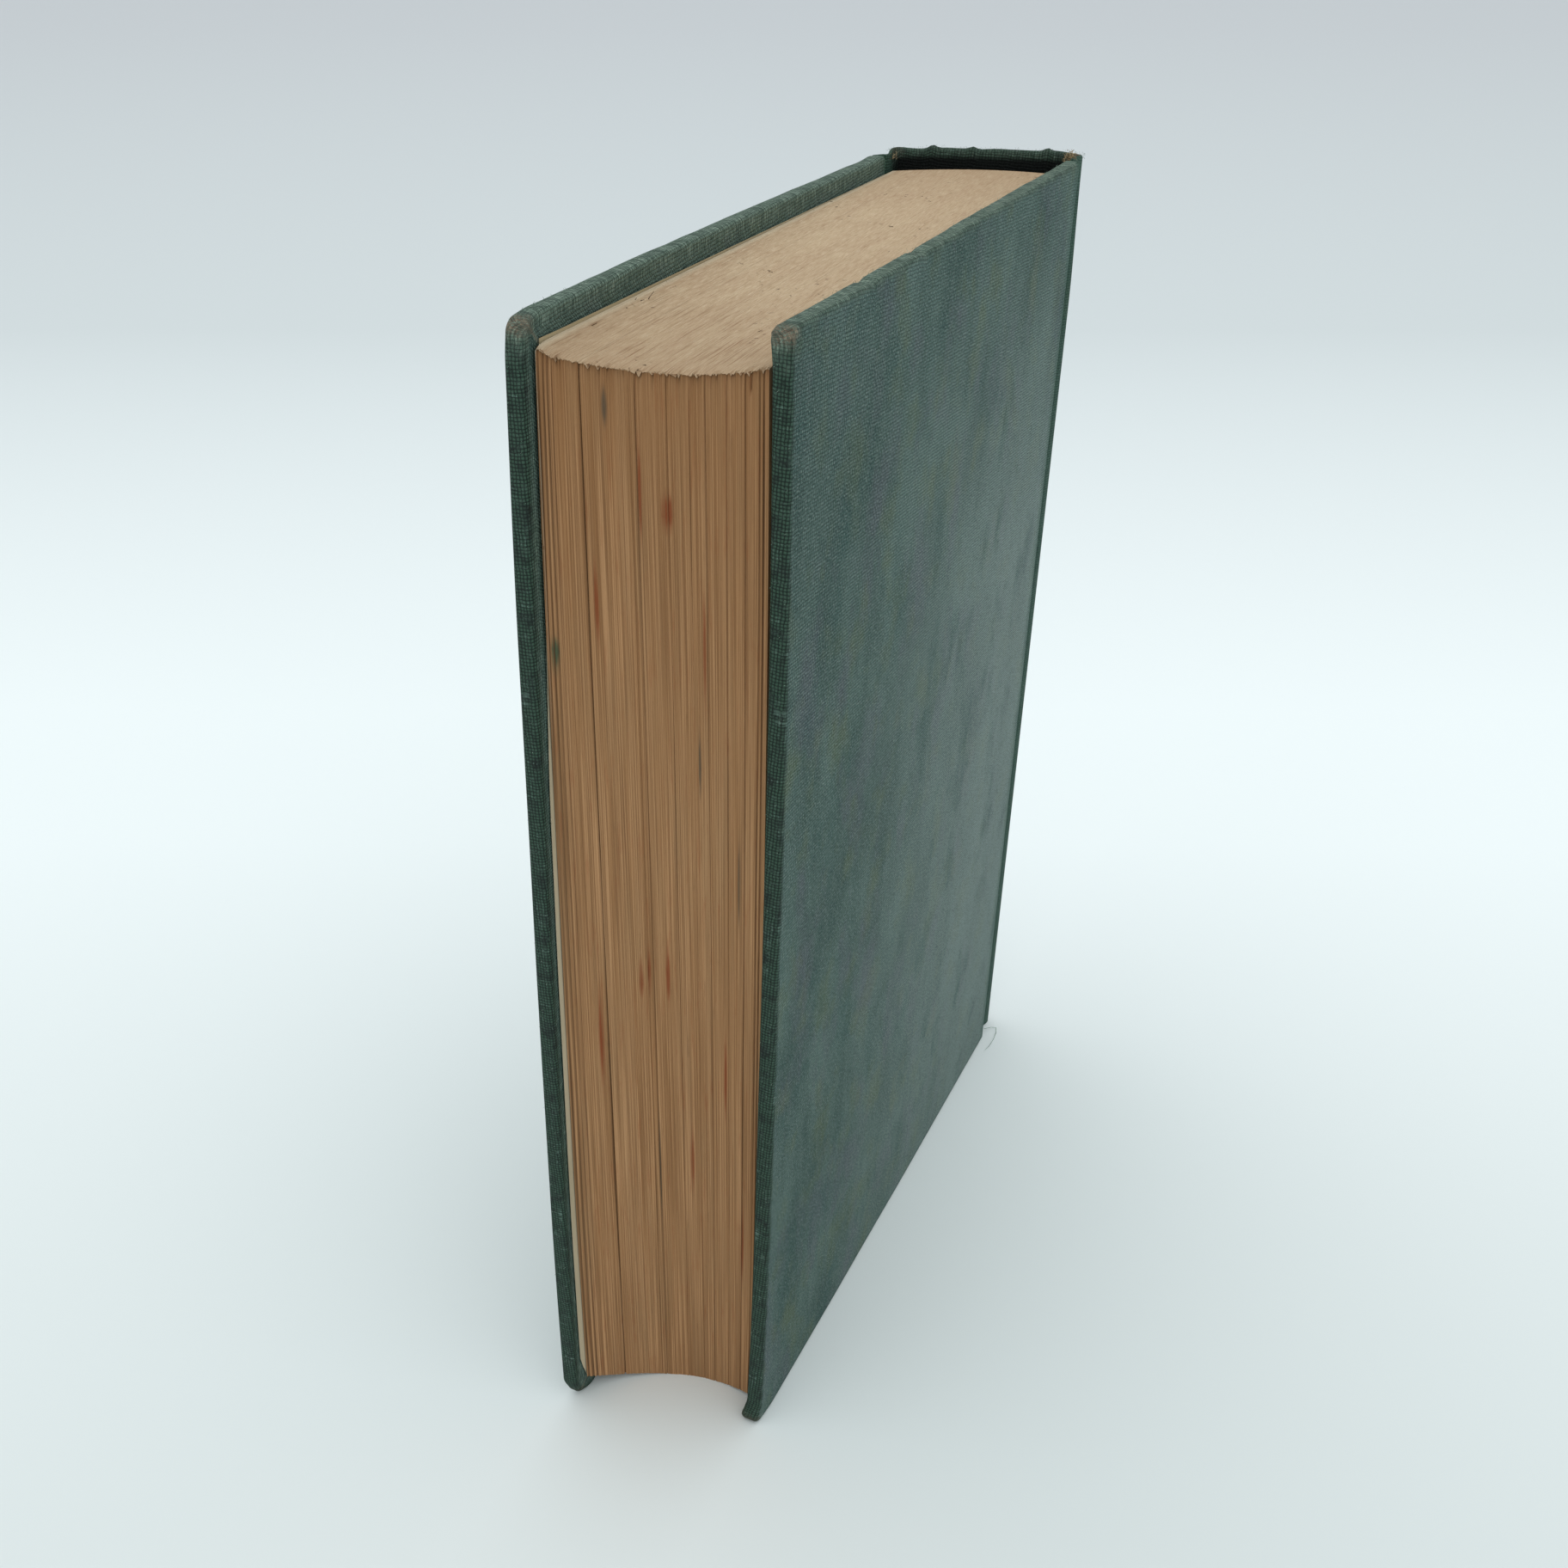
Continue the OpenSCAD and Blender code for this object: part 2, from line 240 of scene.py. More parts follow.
def text_block_mesh():
    bm = bmesh.new()
    along = sum(RUNS.values())
    bmesh.ops.create_grid(bm, x_segments=LEAF_COUNT, y_segments=along, size=0.5)
    flat = np.array([v.co[:] for v in bm.verts]) + 0.5
    leaf = np.rint(flat[:, 0] * LEAF_COUNT).astype(int)
    step = np.rint(flat[:, 1] * along).astype(int)
    y = BLOCK_FRONT + flat[:, 0] * BLOCK_T
    corners = np.array([[np.interp(y, depths, rows[:, c, k]) for k in (0, 1)] for c in range(4)])
    corners = settled(corners, (y - BLOCK_FRONT) / MM)

    single = rng.normal(size=LEAF_COUNT + 1).clip(-1.6, 1.6)
    section, bundle = wander(LEAF_COUNT + 1, 12), wander(LEAF_COUNT + 1, 4)
    torn = np.abs(wander(LEAF_COUNT + 1, 3)) + 0.15 * np.abs(single)
    gap, gap_shade = np.zeros(LEAF_COUNT + 1), np.zeros(LEAF_COUNT + 1)
    for share, deep, shade in GAPS:
        first = round(share * LEAF_COUNT)
        leaves = slice(first, first + (2 if deep >= WIDE_GAP else 1))
        gap[leaves], gap_shade[leaves] = deep, shade
    slot = np.exp(-((np.arange(LEAF_COUNT + 1) / LEAF_COUNT - SLOT_SHARE) * 220) ** 2)
    wave = np.array([noise.noise(Vector((a * 40, b * 9, 0))) for a, b in flat[:, :2]])
    patch = np.array([noise.noise(Vector((a * 60, b * 60, 7))) for a, b in flat[:, :2]])

    place = np.zeros((len(flat), 2))
    run_mm, side, shadow = np.zeros(len(flat)), np.zeros(len(flat)), np.zeros(len(flat))
    start, reached = 0, 0.0
    order = ((0, 3, "spine", (-1, 0)), (0, 1, "tail", (0, -1)),
             (1, 2, "fore", (1, 0)), (2, 3, "head", (0, 1)))
    for first, second, name, outwards in order:
        count = RUNS[name]
        on = (step >= start) & (step <= start + count)
        share = crowd((step[on] - start) / count, LEAF_CROWD)
        a, b = (corners[3], corners[0]) if name == "spine" else (corners[first], corners[second])
        line = a[:, on] + (b[:, on] - a[:, on]) * share
        length = np.hypot(*(b[:, on] - a[:, on]))
        rough = {"spine": 0, "tail": 0.5, "fore": 1, "head": 1}[name]
        proud = (LEAF_PROUD * single + BUNDLE_PROUD * bundle + SECTION_PROUD * section)[leaf[on]]
        proud += WAVE_PROUD * wave[on]
        proud -= gap[leaf[on]] * (0.8 if name == "fore" else 0.08) * (0.7 + 0.3 * wave[on])
        # The corner between the head and the fore-edge is rubbed ragged, section by section
        corner = (1 - share if name == "fore" else share) * length / MM
        if name in ("fore", "head"):
            ragged = (0.55 * torn + 0.22 * section)[leaf[on]] + 0.3 * patch[on]
            proud -= ragged * np.exp(-corner / 0.8)
            opened = slot[leaf[on]] * (1 - smooth(2.5, 4.0, corner)) * (0.7 if name == "fore" else 0.1)
            proud -= SLOT_DEPTH * opened
            # Painted shade: dark in the opened gaps and the torn slot, and under the ragged head edge on the
            # fore-edge
            painted_shade = np.maximum(gap_shade[leaf[on]] * (1 if name == "fore" else 0.15), opened)
            if name == "fore":
                shade_under_head = np.exp(-corner / 1.1) * (0.25 + 0.5 * torn[leaf[on]])
                painted_shade = np.maximum(painted_shade * (0.75 + 0.5 * wave[on]), shade_under_head)
            shadow[on] = np.clip(painted_shade, 0, 1)
        if name == "head":
            proud *= 1 - smooth(0.98, 1, share)
        line += np.outer(outwards, proud * rough * MM)
        place[on] = line.T
        run_mm[on] = (reached + share * length) / MM
        side[on] = name == "head"
        start += count
        reached += float(length.mean())

    # The outermost leaves follow the bend of the covers
    across = (place[:, 0] - place[:, 0].min()) / np.ptp(place[:, 0])
    up = place[:, 1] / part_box("front_cover_cloth")[1].z
    depth = (y - BLOCK_FRONT) / MM
    follows = np.exp(-depth / 5) - np.exp((depth - BLOCK_T / MM) / 5)
    bent_y = y + closed_bend(across, up) * follows * MM

    edge, stained = (bm.verts.layers.float_vector.new(n) for n in ("leaf", "stains"))
    shade = bm.verts.layers.float.new("shade")
    for i, v in enumerate(bm.verts):
        v.co = (place[i, 0], bent_y[i], place[i, 1])
        if place[i, 0] > 0 and not side[i]:
            for at_y, at_z, half_y, half_z, kind in STAINS:
                reach = ((y[i] / MM - at_y) / half_y) ** 2 + ((place[i, 1] / MM - at_z) / half_z) ** 2
                v[stained][kind] = max(v[stained][kind], math.exp(-reach))
        v[edge] = Vector(((y[i] - BLOCK_FRONT) / MM, run_mm[i], side[i]))
        v[shade] = shadow[i]
    bmesh.ops.remove_doubles(bm, verts=bm.verts, dist=1e-7)
    rims = [e for e in bm.edges if e.is_boundary]
    bmesh.ops.edgeloop_fill(bm, edges=rims)
    bmesh.ops.triangulate(bm, faces=[f for f in bm.faces if len(f.verts) > 4])
    bmesh.ops.recalc_face_normals(bm, faces=bm.faces)
    return bm


def grain(tree, vector, scale, detail=3.0, rough=0.6):
    """Noise stretched to the given scales, in waves to the mm along each axis."""
    stretched = add(tree, "Mapping", {0: vector, 3: scale})[0]
    return add(tree, "TexNoise", {"Vector": stretched, "Scale": 1.0, "Detail": detail, "Roughness": rough})[0]


def tint(tree, base, colour, factor, low, high, most=1.0):
    """Mixes a colour in where the factor passes from low to high."""
    share = add(tree, "MapRange", {0: factor, 1: low, 2: high, 4: most})[0]
    return add(tree, "Mix", {0: share, 6: base, 7: linear(colour)}, data_type="RGBA")[2]


def overlap(tree, *ranges):
    """How far all the factors have passed through their ranges: a factor, its low and its high each."""
    product = 1.0
    for factor, low, high in ranges:
        share = add(tree, "MapRange", {0: factor, 1: low, 2: high})[0]
        product = add(tree, "Math", {0: product, 1: share}, operation="MULTIPLY")[0]
    return product


def leaf_edges():
    """Trimmed edges of browned paper: the eye sees fine matt lines, some dusty, some foxed.
    The leaves are 0.1 mm thick. Their lines are drawn a little coarser, 6.5 to the mm."""
    material, tree = new_material("browned_leaf_edges")
    leaf = add(tree, "Attribute", {}, attribute_name="leaf")["Vector"]
    across = add(tree, "SeparateXYZ", {0: leaf})
    fine = grain(tree, leaf, (6.5, 0.018, 0), 2.0, 0.65)
    medium = grain(tree, leaf, (0.8, 0.006, 0), 1.0, 0.4)
    broad = grain(tree, leaf, (0.3, 0.02, 0), 2.0)
    blotch = grain(tree, leaf, (1.2, 0.09, 0), 4.0)

    # Fore-edge: orange brown, with darker, redder and greyer leaves
    fore = tint(tree, linear("#98704a"), "#a9825c", medium, 0.25, 0.75, 0.6)
    fore = tint(tree, fore, "#d8a97c", fine, 0.50, 0.66, 0.47)
    fore = tint(tree, fore, "#553720", fine, 0.50, 0.34, 0.42)
    fore = tint(tree, fore, "#8f7a5a", broad, 0.5, 0.75, 0.2)
    fore = tint(tree, fore, "#8c4d2b", blotch, 0.56, 0.74, 0.35)
    fore = tint(tree, fore, "#55402c", blotch, 0.38, 0.24, 0.3)
    place = add(tree, "TexCoord", {})["Object"]
    where = add(tree, "SeparateXYZ", {0: place})
    fore = tint(tree, fore, "#7c4d24", where[2], 0.15, 0.21, 0.22)
    marks = add(tree, "Attribute", {}, attribute_name="stains")["Vector"]
    stains = add(tree, "SeparateXYZ", {0: marks})
    patchy = add(tree, "MapRange", {0: fine, 1: 0.3, 2: 0.6})[0]
    for kind, colour in enumerate(("#7d3516", "#4d473b", "#1f4f3c")):
        mark = add(tree, "Math", {0: stains[kind], 1: patchy}, operation="MULTIPLY")[0]
        fore = tint(tree, fore, colour, mark, 0.05, 0.5, 0.8)
    # Head: paler and dustier, with short faint lines and with dark specks about 1 mm apart. The
    # outermost leaves are palest.
    streak = grain(tree, leaf, (6.0, 0.3, 0), 4.0, 0.75)
    cloud = grain(tree, leaf, (0.3, 0.06, 4), 5.0, 0.7)
    head = tint(tree, linear("#b89e80"), "#c2ab8c", cloud, 0.35, 0.65)
    head = tint(tree, head, "#836445", streak, 0.49, 0.32, 0.38)
    head = tint(tree, head, "#e8d8bb", streak, 0.50, 0.68, 0.45)
    head = tint(tree, head, "#96785a", where[0], 0.030, 0.072, 0.35)
    faint = grain(tree, leaf, (3.2, 0.06, 2), 2.0)
    scored = overlap(tree, (faint, 0.56, 0.66), (where[0], -0.01, 0.06))
    head = tint(tree, head, "#7c5a3c", scored, 0, 1, 0.55)
    head = tint(tree, head, "#96785a", where[0], -0.030, -0.070, 0.35)
    head = tint(tree, head, "#cdc4ab", across[0], 0.9, 0.2, 0.5)
    speckle = add(tree, "TexNoise", {"Vector": place, "Scale": 900.0, "Detail": 2.0})[0]
    patches = add(tree, "TexNoise", {"Vector": place, "Scale": 60.0, "Detail": 1.0})[0]
    speck = overlap(tree, (speckle, 0.66, 0.71), (patches, 0.52, 0.62))
    head = tint(tree, head, "#4c3a26", speck, 0, 1, 0.85)
    both = add(tree, "Mix", {0: across[2], 6: fore, 7: head}, data_type="RGBA")[2]
    # Painted shade in the opened gaps, in the torn slot and under the ragged head edge
    shade = add(tree, "Attribute", {}, attribute_name="shade")["Fac"]
    both = tint(tree, both, "#2c1a0c", shade, 0, 1, 0.9)
    flaws = add(tree, "Math", {0: speckle, 1: streak}, operation="ADD")[0]
    lift = add(tree, "Math", {0: fine, 1: flaws}, operation="ADD")[0]
    return surfaced(material, tree, both, 0.92, 0.25, (lift, 0.7, 0.00012))


finished("text_block_leaves", text_block_mesh(), leaf_edges(), "book_block", ("text_block",))

# Gauze and spine lining
# Starched open-weave cotton is glued over the sewn backs and on to the boards, and brown kraft
# paper over it. Both are hidden, apart from a little kraft paper inside the hollow spine.


def plain(name, colour, rough, scale, depth):
    """A matt material with mottling and a fine grain of the given scale, in metres."""
    material, tree = new_material(name)
    place = add(tree, "TexCoord", {})["Object"]
    mottle = add(tree, "TexNoise", {"Vector": place, "Scale": 0.2 / scale, "Detail": 3.0})[0]
    fine = add(tree, "TexNoise", {"Vector": place, "Scale": 1 / scale, "Detail": 2.0})[0]
    darker = [0.8 * c for c in linear(colour)[:3]] + [1]
    tone = tint(tree, darker, colour, mottle, 0.3, 0.7)
    return surfaced(material, tree, tone, rough, relief=(fine, 0.4, depth))


def dress(names, material):
    """Gives CAD nodes that keep their shape their finish."""
    for name in names:
        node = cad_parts[name]
        node.data.materials.clear()
        node.data.materials.append(material)


# Starched cotton gives a warm off-white with an open grain of 1.2 mm, and kraft paper and card
# give a matt mid brown and a matt grey brown, their fibres drawn coarser, 0.6 mm apart
gauze = plain("starched_gauze", "#d8ccae", 0.9, 0.0012, 0.0001)
dress(["spine_gauze", "front_gauze_flange", "back_gauze_flange"], gauze)
dress(["spine_lining"], plain("kraft_paper", "#8a6a45", 0.9, 0.0006, 0.00004))
dress(["spine_inlay"], plain("card", "#8f7d62", 0.9, 0.0006, 0.00004))

# Boards
# Pressed grey-brown strawboard, cut square. Damp and handling have bent the head and tail
# corners at the fore-edge towards the leaves.
CORNER_R = 2.2 * MM
CLOTH_T = 0.35 * MM
BOARD_CUTS = (28, 44)
COVER_CROWD = 0.7
RIPPLE_MM = 0.16
# Reach of a knock from its corner, in mm, and the share of the tail's knocks that the head has had
KNOCK_REACH = 6.5
HEAD_KNOCK = 0.45


class Cover:
    """Places points given across, into and up one cover, with the bends that age gave it."""

    def __init__(self, name, inward):
        low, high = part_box(name + "_cover_cloth")
        self.name, self.inward, self.height = name, inward, high.z
        self.spine_x, self.width = low.x, high.x - low.x
        self.face_y = low.y if inward > 0 else high.y
        self.thick = high.y - low.y
        self.seed = 3.0 if inward > 0 else 8.0
        # Nicks in the cloth at the head, in mm from the spine, and the rise of its head edge, in mm
        self.nicks = () if inward > 0 else (58.0, 87.0, 109.2)
        self.arch = 0.3 if inward > 0 else 0.0
        # Where the knocks have sent the inside of the corner at the tail: across, into and up, in mm
        self.tail_tip = (-1.5, -0.5, 0.8) if inward > 0 else (0.6, 1.0, 0.0)

    def sink(self, u, z):
        """How far the cover is bent towards the leaves, in metres."""
        reach = max(0.0, u / self.width)
        ripple = noise.noise(Vector((u * 28, z * 16, self.seed))) * RIPPLE_MM * float(smooth(0.2, 0.5, reach))
        return (float(closed_bend(reach, z / self.height)) + ripple) * MM

    def bumped(self, u, d, z):
        """A point moved by the knocks that the two corners at the fore-edge have had."""
        at_head = z > self.height / 2
        corner = math.hypot(self.width - u, self.height - z if at_head else z) / MM
        blow = float(smooth(KNOCK_REACH, 0.5, corner)) * (HEAD_KNOCK if at_head else 1.0) * MM
        across, into, up = (-0.5, 1.0, -0.45) if at_head else self.tail_tip
        inside = 0.35 + (into - 0.35) * min(1, max(0, d / self.thick))
        return u + across * blow, d + inside * blow, z + up * blow

    def point(self, u, d, z):
        """Where a point of the cover lies in the shared frame."""
        inside = d + self.sink(u, z)
        return Vector((self.spine_x + u, self.face_y + self.inward * inside, z))


front, back = Cover("front", 1), Cover("back", -1)


def rounded(u, z, right, low, high, radius):
    """Moves a point of a square grid so that the grid's two corners at the fore-edge are round.
    Returns it with the centre that it is measured from."""
    centre = Vector((min(u, right - radius), min(max(z, low + radius), high - radius)))
    a, b = (u - centre.x) / radius, (z - centre.y) / radius
    if a > 0 and b:
        u = centre.x + radius * a * math.sqrt(1 - b * b / 2)
        z = centre.y + radius * b * math.sqrt(1 - a * a / 2)
    return Vector((u, z)), centre


def bent_slab(cover, low, high, cuts):
    """A flat piece of a cover, cut fine enough to bend, between two corners given across, into and up."""
    bm = bmesh.new()
    bmesh.ops.create_grid(bm, x_segments=cuts[0], y_segments=cuts[1], size=0.5)
    sheet = bmesh.ops.extrude_face_region(bm, geom=bm.faces[:])
    for v in [g for g in sheet["geom"] if isinstance(g, bmesh.types.BMVert)]:
        v.co.z = 1
    for v in bm.verts:
        share = Vector((v.co.x + 0.5, v.co.z, v.co.y + 0.5))
        u, d, z = (low[i] + (high[i] - low[i]) * float(crowd(share[i], COVER_CROWD)) for i in range(3))
        place, _ = rounded(u, z, high[0], low[2], high[2], CORNER_R)
        v.co = cover.point(*cover.bumped(place.x, d, place.y))
    bmesh.ops.recalc_face_normals(bm, faces=bm.faces)
    return bm


# Strawboard gives a matt yellowish brown, its fibres drawn coarser, 0.8 mm apart
strawboard = plain("strawboard", "#9b8763", 0.95, 0.0008, 0.00008)
for cover in (front, back):
    low = (0.1 * MM, CLOTH_T, CLOTH_T)
    high = (cover.width - 2 * CLOTH_T, cover.thick - CLOTH_T, cover.height - 2.5 * CLOTH_T)
    finished(cover.name + "_strawboard", bent_slab(cover, low, high, BOARD_CUTS), strawboard,
             cover.name + "_cover", (cover.name + "_board",))

# Covering cloth on the boards
# Plain-woven green book cloth, starched and glued over the boards and turned in round three
# edges. It has faded to a blue grey on the faces and kept its colour round the edges.
FACE_CUTS = (84, 132)
RIM_ROUND = 4
TURN_STEPS = 7
EDGE_R = 0.8 * MM
TURN_IN = 15 * MM
HINGE_W = 2.5 * MM
JOINT_W = 7.5 * MM
GROOVE = 1.8 * MM
SHOULDER = 0.9 * MM
GROOVE_AT = 0.45
NICK_MM = 0.45


def joint_depth(u):
    """Depth of the cloth below the cover's face, from the board's edge into the joint."""
    share = max(0.0, -u / JOINT_W)
    if share < GROOVE_AT:
        return GROOVE * float(smooth(0, GROOVE_AT, share))
    return GROOVE + (SHOULDER - GROOVE) * float(smooth(GROOVE_AT, 1, share))


def rim_profile(thick):
    """Offsets from the outline and depths of the rings, from the face round the edge to the turn-in."""
    rings = []
    for i in range(1, RIM_ROUND + 1):
        angle = math.pi / 2 * i / RIM_ROUND
        rings.append((EDGE_R * (1 - math.sin(angle)), EDGE_R * (1 - math.cos(angle))))
    rings.append((0, thick / 2))
    for i in range(RIM_ROUND + 1):
        angle = math.pi / 2 * i / RIM_ROUND
        rings.append((EDGE_R * (1 - math.cos(angle)), thick - EDGE_R * (1 - math.sin(angle))))
    for i in range(TURN_STEPS + 1):
        rings.append((CORNER_R + (TURN_IN - CORNER_R) * i / TURN_STEPS, thick))
    return rings


def cover_cloth_mesh(cover):
    bm = bmesh.new()
    bmesh.ops.create_grid(bm, x_segments=FACE_CUTS[0], y_segments=FACE_CUTS[1], size=0.5)
    centre_u, centre_z = (bm.verts.layers.float.new(n) for n in ("centre_u", "centre_z"))
    out_u, out_z = (bm.verts.layers.float.new(n) for n in ("out_u", "out_z"))
    weave = bm.verts.layers.float_vector.new("weave")
    inner_r = CORNER_R - EDGE_R
    right, top = cover.width - EDGE_R, cover.height - EDGE_R
    for v in bm.verts:
        u = -HINGE_W + float(crowd(v.co.x + 0.5, COVER_CROWD)) * (right + HINGE_W)
        z = EDGE_R + float(crowd(v.co.y + 0.5, COVER_CROWD)) * (top - EDGE_R)
        place, centre = rounded(u, z, right, EDGE_R, top, inner_r)
        v[centre_u], v[centre_z] = centre
        v[out_u], v[out_z] = (place - centre).normalized()
        v[weave] = Vector((*place, 0)) / MM
        v.co = (place.x, 0, place.y)

    rim = [e for e in bm.edges if e.is_boundary and max(v.co.x for v in e.verts) > -HINGE_W + 1e-6]
    run, last = 0.0, (EDGE_R, 0.0)
    for offset, deep in rim_profile(cover.thick):
        before = {v for e in rim for v in e.verts}
        made = bmesh.ops.extrude_edge_only(bm, edges=rim)["geom"]
        ring = {g for g in made if isinstance(g, bmesh.types.BMVert)} - before
        rim = [g for g in made if isinstance(g, bmesh.types.BMEdge) and ring.issuperset(g.verts)]
        run += math.hypot(offset - last[0], deep - last[1])
        last = (offset, deep)
        for v in ring:
            aim = Vector((v[out_u], v[out_z]))
            cu, cz = v[centre_u], v[centre_z]
            if offset <= CORNER_R:
                u, z = cu + aim.x * (CORNER_R - offset), cz + aim.y * (CORNER_R - offset)
            else:
                half = cover.height / 2
                u = cu * (cover.width - offset) / (cover.width - CORNER_R) if cu > 0 else cu
                z = half + (cz - half) * (half - offset) / (half - CORNER_R)
            v[weave] = Vector((cu + aim.x * (inner_r + run), cz + aim.y * (inner_r + run), 0)) / MM
            v.co = (u, deep, z)
    bmesh.ops.remove_doubles(bm, verts=bm.verts, dist=1e-6)

    kinds = ("wear", "rim", "dust_and_light", "seam", "joint")
    wear, rim_share, dust_and_light_share, seam, joint = (bm.verts.layers.float.new(n) for n in kinds)
    for v in bm.verts:
        u, d, z = v.co
        rough = noise.noise(Vector((u, z, d)) * 800)
        edge = min(cover.width - u, z, cover.height - z) / MM
        v[rim_share] = 1.0 if d > 0.3 * MM else float(smooth(1.3, 0.2, edge + 0.5 * rough))
        # Head band: dust and fibres, with painted light that makes the head edge paler
        top = float(smooth(cover.height - 7 * MM, cover.height - 0.5 * MM, z + 1.5 * rough * MM))
        # Turn-ins: painted light, paler than the shade of the leaves would leave them
        turned_in = float(smooth(0.8, 1.6, edge)) if d > cover.thick - 0.1 * MM else 0
        v[dust_and_light_share] = max(top * (0.5 if d < 0.3 * MM else 0.85 + 0.15 * turned_in), 0.8 * turned_in)
        across, up = cover.width - u, min(z, cover.height - z)
        v[joint] = float(smooth(2.6, 0.4, u / MM + rough))
        # The turn-ins also lean towards the paler face colour: painted light
        v[rim_share] -= 0.5 * turned_in
        v[seam] = float(smooth(0.35, 0.1, abs(across - up) / MM)) if v.co.y > cover.thick - 0.1 * MM else 0
        d += 0.15 * v[seam] * MM
        corner = math.hypot(across, up) / MM
        v[wear] = float(smooth(3.6, 0.8, corner + 1.2 * rough)) * (1 if z > 0.05 else 0.35)

        # Head edges are wavy and nicked; the corners are bumped, those at the tail most
        wavy = noise.noise(Vector((u * 45, 5, cover.seed))) * 0.22
        wavy += noise.noise(Vector((u * 160, 2, cover.seed))) * 0.1
        arch = math.sin(math.pi * min(1, max(0, u / cover.width))) + 1.5 * math.exp(-(u / MM / 4) ** 2)
        wavy += cover.arch * arch
        for nick in cover.nicks:
            wavy -= NICK_MM * math.exp(-((u / MM - nick) / 0.9) ** 2)
        shift = wavy * float(smooth(cover.height - 5 * MM, cover.height, z))
        shift *= float(smooth(-1 * MM, 4 * MM, u))
        # Past the board's edge the turned-in cloth lies on the outer cloth
        board = float(smooth(-0.5 * MM, 0, u))
        deep = d * (board + (1 - board) * 2 * CLOTH_T / cover.thick) + joint_depth(u)
        at_u, at_d, at_z = cover.bumped(u, d, z)
        v.co = cover.point(at_u, deep + (at_d - d) * (1 + 0.15 * rough), max(at_z + shift * MM, 0))
    bmesh.ops.recalc_face_normals(bm, faces=bm.faces)
    outer = min(bm.faces, key=lambda f: cover.inward * f.calc_center_median().y)
    if outer.normal.y * cover.inward > 0:
        bmesh.ops.reverse_faces(bm, faces=bm.faces)
    bmesh.ops.solidify(bm, geom=bm.faces[:], thickness=CLOTH_T)
    return bm


# Pitch of the weave's threads, in mm
THREAD = 0.58


